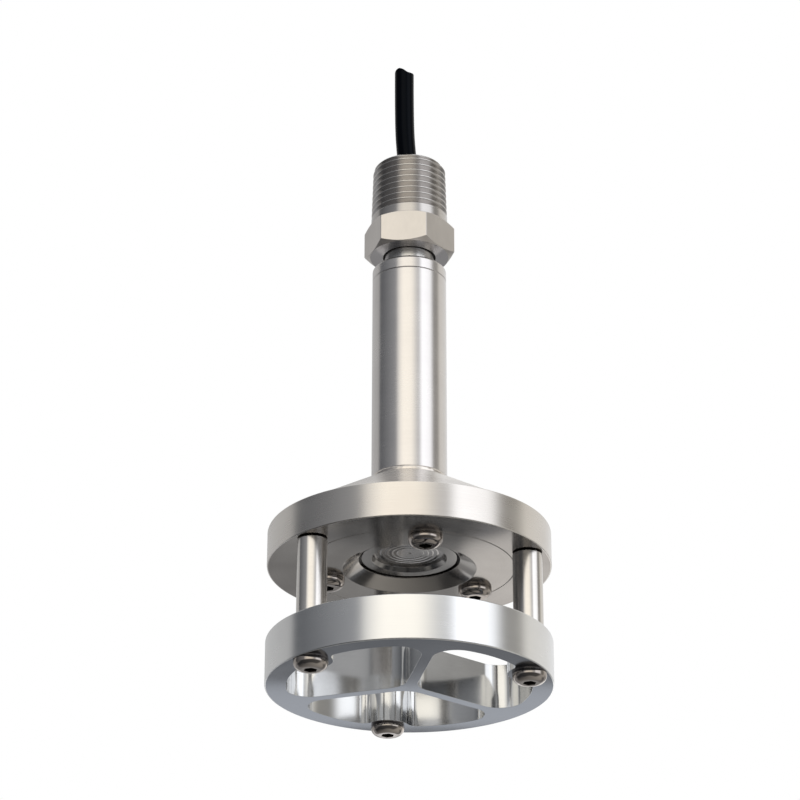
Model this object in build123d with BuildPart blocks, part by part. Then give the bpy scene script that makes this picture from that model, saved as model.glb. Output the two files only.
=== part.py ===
from build123d import *
import os
from math import cos, pi, radians, sin, tan

os.makedirs("parts", exist_ok=True)

# A submersible level transmitter that stands on the heads of its three guard screws.
# The axis is +Z, from the sensor end at the bottom to the cable at the top. All sizes are in mm.

# Guard ring and flange are the same width across
plate_diameter = 76.2

# Guard ring
guard_height = 12.1
guard_edge_bevel = 0.4
guard_rim_wall = 5.7
pocket_corner_radius = 6.2
spoke_width = 3.0
spoke_angle = 30
hub_corner_radius = 7.0
boss_margin = 1.2
boss_corner_radius = 3.0

# Posts and the circle that they stand on
post_count = 3
post_angle = 90
post_inset = 5.0
post_diameter = 7.94
post_length = 21.3

# Button-head socket screws
screw_diameter = 4.83
screw_head_diameter = 9.17
screw_head_height = 2.57
screw_head_edge = 0.35
screw_head_flat_radius = 2.3
screw_head_bulge = 0.14
socket_across_flats = 3.175
socket_depth = 1.5
screw_grip = 7.0
screw_tip_bevel = 0.5
tapped_hole_spare = 1.5

# Coned flange
rim_height = 9.5
rim_edge_bevel = 0.3
land_width = 1.6
land_rise = 0.5
cone_rise = 15.1
spigot_wall = 1.25
spigot_height = 3.0
spigot_bevel = 0.4

# Retainer disc in the flange's underside
disc_inset = 4.9
disc_thickness = 6.0
disc_edge_bevel = 0.15
disc_screw_inset = 4.8
disc_screw_count = 3
disc_screw_angle = 30
countersink_width = 4.35
countersink_slope = 30
nose_gap = 0.65
ledge_thickness = 4.0

# Sensor holder
nose_wall = 3.4
nose_recess = 2.9
nose_edge_bevel = 0.25
lip_cover = 0.2
lip_bevel_width = 0.8
lip_bevel_height = 1.1
holder_shoulder_width = 2.6
holder_shoulder_height = 3.5
holder_spigot_wall = 3.0
holder_spigot_height = 8.2
gasket_thickness = 0.5
gasket_overlap = 2.4
oring_section = 1.4
oring_flats = 8
groove_spare_width = 0.6

# Capsule and diaphragm
capsule_radius = 9.5
capsule_height = 8.0
diaphragm_recess = 4.5
diaphragm_thickness = 0.2
diaphragm_edge_margin = 0.1
wave_height = 0.16
wave_inner_radius = 3.5
wave_pitch = 1.3
wave_count = 4
oil_chamber_depth = 0.7
oil_chamber_wall = 0.6
oil_passage_radius = 1.2
cell_room_step = 2.0
cell_room_depth = 2.6
header_inset = 2.5
header_thickness = 2.5
pin_radius = 0.3
pin_circle_radius = 3.4
pin_count = 5
pin_length = 11.5
pin_reach = 0.85
glass_bead_radius = 0.8
chip_side = 2.6
chip_height = 0.9
chip_base_side = 4.0
chip_base_height = 0.8
nut_height = 3.0
nut_overlap = 0.7
nut_key_width = 2.0
nut_key_depth = 1.2

# Body tube and weld bead
tube_radius = 10.3
tube_wall = 1.5
tube_length = 60.7
tube_end_bevel = 0.2
bead_width = 0.6
bead_height = 1.2
bead_bulge = 0.15

# End cap
cap_height = 3.8
cap_bevel = 0.8
cap_spigot_length = 7.0
neck_radius = 6.9
neck_gap_height = 4.0
neck_grip_length = 13.3
neck_wall = 2.95
neck_groove_depth = 0.75
neck_groove_width = 1.5
neck_groove_inset = 0.4

# Conduit fitting
hex_across_flats = 22.225
hex_height = 9.4
hex_turn = -18.65
hex_bevel_angle = 30
hex_bevel_inset = 0.12
thread_length = 18.9
thread_base_radius = 10.78
thread_taper = 1 / 32
thread_bevel = 1.0
thread_pitch = 25.4 / 14
thread_depth = 1.25
thread_crest_width = 0.25
thread_run_out = 3.0
fitting_mouth_gap = 0.35
cable_mouth_radius = 5.0
cable_mouth_bevel = 0.6

# Cable gland
bush_length = 5.9
bush_bevel = 0.8
washer_thickness = 0.6
washer_bore_radius = 3.1
gland_side_gap = 0.1

# Cable
cable_radius = 2.75
cable_bore_radius = 2.0
conductor_radius = 0.57
conductor_circle_radius = 1.15
conductor_count = 4
conductor_overlap = 3.0
vent_tube_radius = 0.5
vent_tube_overlap = 11.0
cable_lean_angle = 169.75

# Circuit boards
sensor_board_side_gap = 0.3
sensor_board_thickness = 1.0
sensor_board_gap = 1.85
board_edge_inset = 1.35
main_board_thickness = 1.6
main_board_offset = 1.5
main_board_lift = 1.9
holder_ring_wall = 1.1
holder_ring_length = 5.9
link_wire_radius = 0.4
link_wire_pitch = 2.2
link_wire_count = 4
link_wire_overlap = 4.0
chip_body_side = 7.0
chip_body_height = 1.2
chip_level_share = 0.3
small_chip_length = 4.9
small_chip_width = 3.9
small_chip_level_share = 0.5
arrester_wall_gap = 1.05
arrester_length = 5.6
arrester_pitch = 6.6
arrester_drop = 9.0

# Clearances
screw_hole_gap = 0.15
thread_gap = 0.03
fit_gap = 0.05
disc_gap = 0.15
slot_gap = 0.1
seal_gap = 0.02
touch_gap = 0.05

# Levels along the axis, worked out from the sizes above
guard_bottom = screw_head_height
guard_top = guard_bottom + guard_height
flange_bottom = guard_top + post_length
rim_top = flange_bottom + rim_height
cone_foot = rim_top + land_rise
cone_top = cone_foot + cone_rise
ledge_top = flange_bottom + ledge_thickness
disc_top = flange_bottom + disc_thickness
holder_seat = ledge_top + gasket_thickness
shoulder_top = holder_seat + holder_shoulder_height
holder_top = shoulder_top + holder_spigot_height
diaphragm_level = flange_bottom + diaphragm_recess
capsule_bottom = diaphragm_level + diaphragm_thickness
capsule_top = capsule_bottom + capsule_height
spigot_top = cone_top + spigot_height
seam_level = cone_top + tube_length
cap_top = seam_level + cap_height
hex_bottom = cap_top + neck_gap_height
hex_top = hex_bottom + hex_height
fitting_top = hex_top + thread_length
neck_top = hex_bottom + neck_grip_length
bush_bottom = neck_top + washer_thickness
bush_top = bush_bottom + bush_length
gland_top = bush_top + washer_thickness

# Radii that follow from a wall, a margin or a fit
plate_radius = plate_diameter / 2
pocket_radius = plate_radius - guard_rim_wall
boss_radius = screw_head_diameter / 2 + boss_margin
post_circle_radius = plate_radius - post_inset
disc_radius = post_circle_radius - disc_inset
disc_screw_circle_radius = disc_radius - disc_screw_inset
nose_radius = capsule_radius + nose_wall
nose_opening_radius = nose_radius + nose_gap
countersink_radius = nose_opening_radius + countersink_width
lip_bore_radius = capsule_radius - lip_cover
nose_lip_radius = lip_bore_radius + lip_bevel_width
holder_shoulder_radius = nose_radius + holder_shoulder_width
holder_spigot_radius = capsule_radius + holder_spigot_wall
oil_chamber_radius = capsule_radius - oil_chamber_wall
header_radius = capsule_radius - header_inset
cell_room_radius = header_radius - cell_room_step
nut_bore_radius = header_radius - nut_overlap
tube_bore_radius = tube_radius - tube_wall
screw_radius = screw_diameter / 2
screw_hole_radius = screw_radius + screw_hole_gap
tapped_hole_radius = screw_radius + thread_gap
spigot_radius = tube_bore_radius - fit_gap
flange_bore_radius = spigot_radius - spigot_wall
neck_bore_radius = neck_radius - neck_wall
disc_recess_radius = disc_radius + disc_gap
shoulder_bore_radius = holder_shoulder_radius + fit_gap
holder_bore_radius = capsule_radius + fit_gap
seat_bore_radius = holder_spigot_radius + fit_gap
cap_spigot_radius = tube_bore_radius - fit_gap
fitting_bore_radius = neck_radius + fit_gap
gland_radius = fitting_bore_radius - gland_side_gap


def turned(profile):
    """A solid turned about the axis from a closed outline of (radius, height) points."""
    with BuildPart() as solid:
        with BuildSketch(Plane.XZ):
            with BuildLine():
                Polyline(*profile, close=True)
            make_face()
        revolve(axis=Axis.Z)
    return solid.part


def seal_ring(inner_wall, outer_wall, level):
    """An O-ring pressed flat by two round walls, less the seal gap on each side."""
    half_section = (outer_wall - inner_wall) / 2 - seal_gap
    centre_radius = (outer_wall + inner_wall) / 2
    with BuildPart() as ring:
        with BuildSketch(Plane.XZ):
            with Locations((centre_radius, level)):
                RegularPolygon(
                    half_section, oring_flats, major_radius=False, rotation=180 / oring_flats
                )
        revolve(axis=Axis.Z)
    return ring.part


def button_screw(seat_level, shank_length):
    """A button-head socket screw, head down, whose head bears on the seat level from below."""
    head_bottom = seat_level - screw_head_height
    edge_level = seat_level - screw_head_edge
    head_radius = screw_head_diameter / 2
    tip_level = seat_level + shank_length
    mid_radius = (head_radius + screw_head_flat_radius) / 2 + screw_head_bulge * head_radius
    mid_level = (head_bottom + edge_level) / 2 - screw_head_bulge * screw_head_height
    with BuildPart() as screw:
        with BuildSketch(Plane.XZ):
            with BuildLine():
                Line((0, head_bottom), (screw_head_flat_radius, head_bottom))
                ThreePointArc(
                    (screw_head_flat_radius, head_bottom),
                    (mid_radius, mid_level),
                    (head_radius, edge_level),
                )
                Polyline(
                    (head_radius, edge_level),
                    (head_radius, seat_level),
                    (screw_radius, seat_level),
                    (screw_radius, tip_level - screw_tip_bevel),
                    (screw_radius - screw_tip_bevel, tip_level),
                    (0, tip_level),
                    (0, head_bottom),
                )
            make_face()
        revolve(axis=Axis.Z)
        with BuildSketch(Plane.XY.offset(head_bottom)):
            RegularPolygon(socket_across_flats / 2, 6, major_radius=False)
        extrude(amount=socket_depth, mode=Mode.SUBTRACT)
    return screw.part


def near_circle(vertex, centre, radius):
    """True where a corner lies on a circle drawn about a centre."""
    distance = (Vector(vertex.X, vertex.Y) - Vector(*centre)).length
    return abs(distance - radius) < 0.001


# Guard ring: three pockets between three spokes, with a boss at each post
post_places = [
    (
        post_circle_radius * cos(radians(post_angle + turn * 360 / post_count)),
        post_circle_radius * sin(radians(post_angle + turn * 360 / post_count)),
    )
    for turn in range(post_count)
]
with BuildSketch() as pockets:
    Circle(pocket_radius)
    with PolarLocations(0, post_count, start_angle=spoke_angle):
        Rectangle(
            plate_radius,
            spoke_width,
            align=(Align.MIN, Align.CENTER),
            mode=Mode.SUBTRACT,
        )
    with PolarLocations(post_circle_radius, post_count, start_angle=post_angle):
        Circle(boss_radius, mode=Mode.SUBTRACT)
    boss_corners = [
        corner
        for corner in pockets.vertices()
        if any(near_circle(corner, place, boss_radius) for place in post_places)
    ]
    fillet(boss_corners, boss_corner_radius)
    rim_corners = [
        corner
        for corner in pockets.vertices()
        if near_circle(corner, (0, 0), pocket_radius)
        and any(
            abs(abs(corner.Y * cos(angle) - corner.X * sin(angle)) - spoke_width / 2) < 0.001
            for angle in [radians(spoke_angle + turn * 360 / post_count) for turn in range(post_count)]
        )
    ]
    fillet(rim_corners, pocket_corner_radius)
    hub_corners = [
        corner
        for corner in pockets.vertices()
        if Vector(corner.X, corner.Y).length < spoke_width
    ]
    fillet(hub_corners, hub_corner_radius)

with BuildPart() as guard_ring:
    with BuildSketch(Plane.XY.offset(guard_bottom)):
        Circle(plate_radius)
        add(pockets.sketch, mode=Mode.SUBTRACT)
        with PolarLocations(post_circle_radius, post_count, start_angle=post_angle):
            Circle(screw_hole_radius, mode=Mode.SUBTRACT)
    extrude(amount=guard_height)
    rim_edges = guard_ring.edges().filter_by(
        lambda edge: edge.geom_type == GeomType.CIRCLE
        and abs(edge.radius - plate_radius) < 0.001
    )
    chamfer(rim_edges, guard_edge_bevel)
guard_ring.part.label = "guard_ring"
export_step(guard_ring.part, "parts/guard_ring.step")

# Posts: plain sleeves that the long screws pass through
with BuildPart() as spacer_posts:
    with BuildSketch(Plane.XY.offset(guard_top)):
        with PolarLocations(post_circle_radius, post_count, start_angle=post_angle):
            Circle(post_diameter / 2)
            Circle(screw_hole_radius, mode=Mode.SUBTRACT)
    extrude(amount=post_length)
spacer_posts.part.label = "spacer_posts"
export_step(spacer_posts.part, "parts/spacer_posts.step")

# Guard screws: from under the ring, through the posts, into the flange
guard_screw_length = guard_height + post_length + screw_grip
guard_screw = button_screw(guard_bottom, guard_screw_length)
with BuildPart() as guard_screws:
    with PolarLocations(post_circle_radius, post_count, start_angle=post_angle):
        add(guard_screw)
guard_screws.part.label = "guard_screws"
export_step(guard_screws.part, "parts/guard_screws.step")

# Flange: thick rim, cone, and a spigot that centres the tube
flange_profile = [
    (disc_recess_radius, flange_bottom),
    (plate_radius - rim_edge_bevel, flange_bottom),
    (plate_radius, flange_bottom + rim_edge_bevel),
    (plate_radius, rim_top),
    (plate_radius - land_width, cone_foot),
    (tube_radius, cone_top),
    (spigot_radius, cone_top),
    (spigot_radius, spigot_top - spigot_bevel),
    (spigot_radius - spigot_bevel, spigot_top),
    (flange_bore_radius, spigot_top),
    (flange_bore_radius, holder_top + fit_gap),
    (seat_bore_radius, holder_top + fit_gap),
    (seat_bore_radius, shoulder_top),
    (shoulder_bore_radius, shoulder_top),
    (shoulder_bore_radius, disc_top),
    (disc_recess_radius, disc_top),
]
with BuildPart() as flange_body:
    add(turned(flange_profile))
    with BuildSketch(Plane.XY.offset(flange_bottom)):
        with PolarLocations(post_circle_radius, post_count, start_angle=post_angle):
            Circle(tapped_hole_radius)
    extrude(amount=screw_grip + tapped_hole_spare, mode=Mode.SUBTRACT)
    with BuildSketch(Plane.XY.offset(disc_top)):
        with PolarLocations(disc_screw_circle_radius, disc_screw_count, start_angle=disc_screw_angle):
            Circle(tapped_hole_radius)
    extrude(amount=screw_grip + tapped_hole_spare, mode=Mode.SUBTRACT)
flange_body.part.label = "flange_body"
export_step(flange_body.part, "parts/flange_body.step")

# Retainer disc: flush in the underside, countersunk round the sensor's nose
countersink_depth = (countersink_radius - nose_opening_radius) * tan(radians(countersink_slope))
disc_profile = [
    (countersink_radius, flange_bottom),
    (disc_radius - disc_edge_bevel, flange_bottom),
    (disc_radius, flange_bottom + disc_edge_bevel),
    (disc_radius, disc_top),
    (shoulder_bore_radius, disc_top),
    (shoulder_bore_radius, ledge_top),
    (nose_opening_radius, ledge_top),
    (nose_opening_radius, flange_bottom + countersink_depth),
]
with BuildPart() as retainer_disc:
    add(turned(disc_profile))
    with BuildSketch(Plane.XY.offset(flange_bottom)):
        with PolarLocations(disc_screw_circle_radius, disc_screw_count, start_angle=disc_screw_angle):
            Circle(screw_hole_radius)
    extrude(amount=disc_thickness, mode=Mode.SUBTRACT)
retainer_disc.part.label = "retainer_disc"
export_step(retainer_disc.part, "parts/retainer_disc.step")

# Disc screws: short ones, heads on the disc's face
disc_screw = button_screw(flange_bottom, disc_thickness + screw_grip)
with BuildPart() as disc_screws:
    with PolarLocations(disc_screw_circle_radius, disc_screw_count, start_angle=disc_screw_angle):
        add(disc_screw)
disc_screws.part.label = "disc_screws"
export_step(disc_screws.part, "parts/disc_screws.step")

# Sensor holder: nose with a bevelled lip, shoulder, and a spigot with a seal groove
nose_face = flange_bottom + nose_recess
groove_depth = oring_section + seal_gap
groove_width = oring_section + groove_spare_width
holder_groove_level = (shoulder_top + holder_top) / 2
holder_groove_floor = seat_bore_radius - groove_depth
holder_profile = [
    (nose_lip_radius, nose_face),
    (nose_radius - nose_edge_bevel, nose_face),
    (nose_radius, nose_face + nose_edge_bevel),
    (nose_radius, holder_seat),
    (holder_shoulder_radius, holder_seat),
    (holder_shoulder_radius, shoulder_top),
    (holder_spigot_radius, shoulder_top),
    (holder_spigot_radius, holder_groove_level - groove_width / 2),
    (holder_groove_floor, holder_groove_level - groove_width / 2),
    (holder_groove_floor, holder_groove_level + groove_width / 2),
    (holder_spigot_radius, holder_groove_level + groove_width / 2),
    (holder_spigot_radius, holder_top),
    (holder_bore_radius, holder_top),
    (holder_bore_radius, diaphragm_level),
    (lip_bore_radius, diaphragm_level),
    (lip_bore_radius, nose_face + lip_bevel_height),
]
with BuildPart() as sensor_holder:
    add(turned(holder_profile))
sensor_holder.part.label = "sensor_holder"
export_step(sensor_holder.part, "parts/sensor_holder.step")

with BuildPart() as holder_oring:
    add(seal_ring(holder_groove_floor, seat_bore_radius, holder_groove_level))
holder_oring.part.label = "holder_oring"
export_step(holder_oring.part, "parts/holder_oring.step")

# Nose gasket: flat rubber between the disc's ledge and the holder's shoulder
with BuildPart() as nose_gasket:
    with BuildSketch(Plane.XY.offset(ledge_top)):
        Circle(nose_radius + fit_gap + gasket_overlap)
        Circle(nose_radius + fit_gap, mode=Mode.SUBTRACT)
    extrude(amount=gasket_thickness)
nose_gasket.part.label = "nose_gasket"
export_step(nose_gasket.part, "parts/nose_gasket.step")

# Diaphragm: one thin sheet with concentric waves, its flat rim held against the holder's lip
crest_radii = [wave_inner_radius + step * wave_pitch / 2 for step in range(2 * wave_count + 1)]


def sheet_line(base_level):
    """The points of the waved sheet, from the centre out to the rim, at one of its two faces."""
    wave_points = [
        (radius, base_level + (wave_height if step % 2 else 0))
        for step, radius in enumerate(crest_radii)
    ]
    return [(0, base_level), *wave_points, (capsule_radius - diaphragm_edge_margin, base_level)]


with BuildPart() as diaphragm:
    lower_face = sheet_line(diaphragm_level)
    upper_face = sheet_line(capsule_bottom)
    with BuildSketch(Plane.XZ):
        with BuildLine():
            Polyline(*lower_face, *reversed(upper_face), close=True)
        make_face()
    revolve(axis=Axis.Z)
diaphragm.part.label = "diaphragm"
export_step(diaphragm.part, "parts/diaphragm.step")

# Capsule: oil chamber behind the diaphragm, room for the cell, seat for the header
cell_room_top = capsule_top - header_thickness
cell_room_bottom = cell_room_top - cell_room_depth
capsule_groove_level = (capsule_bottom + capsule_top) / 2
capsule_groove_floor = holder_bore_radius - groove_depth
capsule_profile = [
    (oil_chamber_radius, capsule_bottom),
    (capsule_radius, capsule_bottom),
    (capsule_radius, capsule_groove_level - groove_width / 2),
    (capsule_groove_floor, capsule_groove_level - groove_width / 2),
    (capsule_groove_floor, capsule_groove_level + groove_width / 2),
    (capsule_radius, capsule_groove_level + groove_width / 2),
    (capsule_radius, capsule_top),
    (header_radius + fit_gap, capsule_top),
    (header_radius + fit_gap, cell_room_top),
    (cell_room_radius, cell_room_top),
    (cell_room_radius, cell_room_bottom),
    (oil_passage_radius, cell_room_bottom),
    (oil_passage_radius, capsule_bottom + oil_chamber_depth),
    (oil_chamber_radius, capsule_bottom + oil_chamber_depth),
]
with BuildPart() as capsule_body:
    add(turned(capsule_profile))
capsule_body.part.label = "capsule_body"
export_step(capsule_body.part, "parts/capsule_body.step")

with BuildPart() as capsule_oring:
    add(seal_ring(capsule_groove_floor, holder_bore_radius, capsule_groove_level))
capsule_oring.part.label = "capsule_oring"
export_step(capsule_oring.part, "parts/capsule_oring.step")

# Capsule nut: threaded ring with two key slots
with BuildPart() as capsule_nut:
    with BuildSketch(Plane.XY.offset(capsule_top)):
        Circle(holder_bore_radius - fit_gap)
        Circle(nut_bore_radius, mode=Mode.SUBTRACT)
    extrude(amount=nut_height)
    with BuildSketch(Plane.XY.offset(capsule_top + nut_height)):
        Rectangle(2 * holder_bore_radius, nut_key_width)
    extrude(amount=-nut_key_depth, mode=Mode.SUBTRACT)
capsule_nut.part.label = "capsule_nut"
export_step(capsule_nut.part, "parts/capsule_nut.step")

# Header with its pins, their glass beads, and the pressure cell under it
with BuildPart() as sensor_header:
    with BuildSketch(Plane.XY.offset(cell_room_top)):
        Circle(header_radius)
        with PolarLocations(pin_circle_radius, pin_count):
            Circle(glass_bead_radius, mode=Mode.SUBTRACT)
    extrude(amount=header_thickness)
sensor_header.part.label = "sensor_header"
export_step(sensor_header.part, "parts/sensor_header.step")

with BuildPart() as glass_seals:
    with BuildSketch(Plane.XY.offset(cell_room_top)):
        with PolarLocations(pin_circle_radius, pin_count):
            Circle(glass_bead_radius - seal_gap)
            Circle(pin_radius + seal_gap, mode=Mode.SUBTRACT)
    extrude(amount=header_thickness)
glass_seals.part.label = "glass_seals"
export_step(glass_seals.part, "parts/glass_seals.step")

pin_bottom = cell_room_top - pin_reach
with BuildPart() as header_pins:
    with BuildSketch(Plane.XY.offset(pin_bottom)):
        with PolarLocations(pin_circle_radius, pin_count):
            Circle(pin_radius)
    extrude(amount=pin_length)
header_pins.part.label = "header_pins"
export_step(header_pins.part, "parts/header_pins.step")

with BuildPart() as sensor_chip:
    with BuildSketch(Plane.XY.offset(cell_room_top)):
        Rectangle(chip_base_side, chip_base_side)
    extrude(amount=-chip_base_height)
    with BuildSketch(Plane.XY.offset(cell_room_top - chip_base_height)):
        Rectangle(chip_side, chip_side)
    extrude(amount=-chip_height)
sensor_chip.part.label = "sensor_chip"
export_step(sensor_chip.part, "parts/sensor_chip.step")

# Round board on the pins
sensor_board_bottom = capsule_top + nut_height + sensor_board_gap
sensor_board_top = sensor_board_bottom + sensor_board_thickness
with BuildPart() as sensor_board:
    with BuildSketch(Plane.XY.offset(sensor_board_bottom)):
        Circle(flange_bore_radius - sensor_board_side_gap)
        with PolarLocations(pin_circle_radius, pin_count):
            Circle(pin_radius + touch_gap, mode=Mode.SUBTRACT)
    extrude(amount=sensor_board_thickness)
sensor_board.part.label = "sensor_board"
export_step(sensor_board.part, "parts/sensor_board.step")

# Body tube: plain tube with the weld bead at its foot, just clear of the cone
cone_slope = cone_rise / (plate_radius - land_width - tube_radius)
bead_foot_level = cone_top - bead_width * cone_slope + touch_gap
bead_top_level = cone_top + bead_height
bead_mid_radius = tube_radius + bead_width / 2 + bead_bulge
bead_mid_level = (bead_foot_level + bead_top_level) / 2
with BuildPart() as body_tube:
    with BuildSketch(Plane.XZ):
        with BuildLine():
            Polyline(
                (tube_radius, bead_top_level),
                (tube_radius, seam_level - tube_end_bevel),
                (tube_radius - tube_end_bevel, seam_level),
                (tube_bore_radius, seam_level),
                (tube_bore_radius, cone_top),
                (tube_radius, cone_top),
                (tube_radius + bead_width, bead_foot_level),
            )
            ThreePointArc(
                (tube_radius + bead_width, bead_foot_level),
                (bead_mid_radius, bead_mid_level),
                (tube_radius, bead_top_level),
            )
        make_face()
    revolve(axis=Axis.Z)
body_tube.part.label = "body_tube"
export_step(body_tube.part, "parts/body_tube.step")

# Long board in the tube, held at both ends by slotted rings
cap_spigot_bottom = seam_level - cap_spigot_length
board_bottom = spigot_top + main_board_lift
board_top = cap_spigot_bottom - main_board_lift - slot_gap
board_back = main_board_offset + main_board_thickness
ring_radius = tube_bore_radius - fit_gap
main_board_width = 2 * (ring_radius - board_edge_inset)
with BuildPart() as main_board:
    with BuildSketch(Plane.XY.offset(board_bottom)):
        with Locations((0, main_board_offset + main_board_thickness / 2)):
            Rectangle(main_board_width, main_board_thickness)
    extrude(amount=board_top - board_bottom)
main_board.part.label = "main_board"
export_step(main_board.part, "parts/main_board.step")

with BuildPart() as board_holders:
    for ring_bottom in (spigot_top, cap_spigot_bottom - holder_ring_length):
        with BuildSketch(Plane.XY.offset(ring_bottom)):
            Circle(ring_radius)
            Circle(ring_radius - holder_ring_wall, mode=Mode.SUBTRACT)
        extrude(amount=holder_ring_length)
    with BuildSketch(Plane.XY.offset(board_bottom)):
        with Locations((0, main_board_offset + main_board_thickness / 2)):
            Rectangle(main_board_width + 2 * slot_gap, main_board_thickness + 2 * slot_gap)
    extrude(amount=board_top + slot_gap - board_bottom, mode=Mode.SUBTRACT)
board_holders.part.label = "board_holders"
export_step(board_holders.part, "parts/board_holders.step")

# Parts on the long board: a large and a small chip on its back
chip_level = board_bottom + (board_top - board_bottom) * chip_level_share
small_chip_level = board_bottom + (board_top - board_bottom) * small_chip_level_share
with BuildPart() as board_chips:
    with BuildSketch(Plane.XZ.offset(-board_back)):
        with Locations((0, chip_level)):
            Rectangle(chip_body_side, chip_body_side)
        with Locations((0, small_chip_level)):
            Rectangle(small_chip_length, small_chip_width)
    extrude(amount=-chip_body_height)
board_chips.part.label = "board_chips"
export_step(board_chips.part, "parts/board_chips.step")

# Surge arresters: two small cans in line on the board's back, near the cable end
arrester_radius = (tube_bore_radius - arrester_wall_gap - board_back - touch_gap) / 2
arrester_axis = board_back + arrester_radius + touch_gap
with BuildPart() as surge_arresters:
    for turn in range(2):
        arrester_level = board_top - arrester_drop - turn * arrester_pitch
        with BuildSketch(Plane.XY.offset(arrester_level - arrester_length / 2)):
            with Locations((0, arrester_axis)):
                Circle(arrester_radius)
        extrude(amount=arrester_length)
surge_arresters.part.label = "surge_arresters"
export_step(surge_arresters.part, "parts/surge_arresters.step")

# Link wires: straight from the round board up the front of the long board
wire_offset = main_board_offset - link_wire_radius - touch_gap
with BuildPart() as link_wires:
    with BuildSketch(Plane.XY.offset(sensor_board_top)):
        with Locations((0, wire_offset)):
            with GridLocations(link_wire_pitch, 1, link_wire_count, 1):
                Circle(link_wire_radius)
    extrude(amount=board_bottom + link_wire_overlap - sensor_board_top)
link_wires.part.label = "link_wires"
export_step(link_wires.part, "parts/link_wires.step")

# End cap: band flush with the tube, spigot with a seal groove, and the neck
cap_groove_level = (cap_spigot_bottom + seam_level) / 2
cap_groove_floor = tube_bore_radius - groove_depth
neck_groove_bottom = hex_bottom + neck_groove_inset
neck_groove_top = neck_groove_bottom + neck_groove_width
neck_groove_floor = neck_radius - neck_groove_depth
cap_profile = [
    (neck_bore_radius, cap_spigot_bottom),
    (cap_spigot_radius, cap_spigot_bottom),
    (cap_spigot_radius, cap_groove_level - groove_width / 2),
    (cap_groove_floor, cap_groove_level - groove_width / 2),
    (cap_groove_floor, cap_groove_level + groove_width / 2),
    (cap_spigot_radius, cap_groove_level + groove_width / 2),
    (cap_spigot_radius, seam_level),
    (tube_radius, seam_level),
    (tube_radius, cap_top - cap_bevel),
    (tube_radius - cap_bevel, cap_top),
    (neck_radius, cap_top),
    (neck_radius, neck_groove_bottom),
    (neck_groove_floor, neck_groove_bottom),
    (neck_groove_floor, neck_groove_top),
    (neck_radius, neck_groove_top),
    (neck_radius, neck_top),
    (neck_bore_radius, neck_top),
]
with BuildPart() as end_cap:
    add(turned(cap_profile))
end_cap.part.label = "end_cap"
export_step(end_cap.part, "parts/end_cap.step")

with BuildPart() as cap_oring:
    add(seal_ring(cap_groove_floor, tube_bore_radius, cap_groove_level))
cap_oring.part.label = "cap_oring"
export_step(cap_oring.part, "parts/cap_oring.step")

mouth_radius = neck_radius + fitting_mouth_gap
with BuildPart() as neck_oring:
    add(seal_ring(neck_groove_floor, mouth_radius, (neck_groove_bottom + neck_groove_top) / 2))
neck_oring.part.label = "neck_oring"
export_step(neck_oring.part, "parts/neck_oring.step")

# Conduit fitting: hexagon with bevelled corners, tapered thread as plain grooves, stepped bore
hex_face_radius = hex_across_flats / 2 - hex_bevel_inset
hex_corner_radius = hex_across_flats / 2 / cos(radians(30))
hex_reach = hex_corner_radius + 1
bevel_rise = (hex_reach - hex_face_radius) * tan(radians(hex_bevel_angle))
barrel_profile = [
    (0, hex_bottom),
    (hex_face_radius, hex_bottom),
    (hex_reach, hex_bottom + bevel_rise),
    (hex_reach, hex_top - bevel_rise),
    (hex_face_radius, hex_top),
    (0, hex_top),
]
thread_end_radius = thread_base_radius - thread_length * thread_taper
groove_count = int((thread_length - thread_run_out - thread_bevel) / thread_pitch)
groove_half_width = (thread_pitch - thread_crest_width) / 2
groove_points = []
for number in range(groove_count, 0, -1):
    groove_level = fitting_top - thread_bevel - thread_pitch * number
    groove_radius = thread_base_radius - (groove_level - hex_top) * thread_taper
    edge_change = groove_half_width * thread_taper
    groove_points.append((groove_radius + edge_change, groove_level - groove_half_width))
    groove_points.append((groove_radius - thread_depth, groove_level))
    groove_points.append((groove_radius - edge_change, groove_level + groove_half_width))
thread_profile = [
    (0, hex_top),
    (thread_base_radius, hex_top),
    *groove_points,
    (thread_end_radius + thread_bevel * thread_taper, fitting_top - thread_bevel),
    (thread_end_radius - thread_bevel, fitting_top),
    (0, fitting_top),
]
bore_profile = [
    (0, hex_bottom),
    (mouth_radius, hex_bottom),
    (mouth_radius, neck_groove_top + touch_gap),
    (fitting_bore_radius, neck_groove_top + touch_gap),
    (fitting_bore_radius, gland_top),
    (cable_mouth_radius, gland_top),
    (cable_mouth_radius, fitting_top - cable_mouth_bevel),
    (cable_mouth_radius + cable_mouth_bevel, fitting_top),
    (0, fitting_top),
]
with BuildPart() as conduit_fitting:
    with BuildSketch(Plane.XY.offset(hex_bottom)):
        RegularPolygon(hex_across_flats / 2, 6, major_radius=False, rotation=hex_turn)
    extrude(amount=hex_height)
    add(turned(barrel_profile), mode=Mode.INTERSECT)
    add(turned(thread_profile))
    add(turned(bore_profile), mode=Mode.SUBTRACT)
conduit_fitting.part.label = "conduit_fitting"
export_step(conduit_fitting.part, "parts/conduit_fitting.step")

# Cable gland: a rubber bush squeezed between two washers on top of the neck
bush_profile = [
    (cable_radius + seal_gap, bush_bottom),
    (gland_radius - bush_bevel, bush_bottom),
    (gland_radius, bush_bottom + bush_bevel),
    (gland_radius, bush_top - bush_bevel),
    (gland_radius - bush_bevel, bush_top),
    (cable_radius + seal_gap, bush_top),
]
with BuildPart() as gland_bush:
    add(turned(bush_profile))
gland_bush.part.label = "gland_bush"
export_step(gland_bush.part, "parts/gland_bush.step")

with BuildPart() as gland_washers:
    for washer_level in (neck_top, bush_top):
        with BuildSketch(Plane.XY.offset(washer_level)):
            Circle(gland_radius)
            Circle(washer_bore_radius, mode=Mode.SUBTRACT)
        extrude(amount=washer_thickness)
gland_washers.part.label = "gland_washers"
export_step(gland_washers.part, "parts/gland_washers.step")

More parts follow.
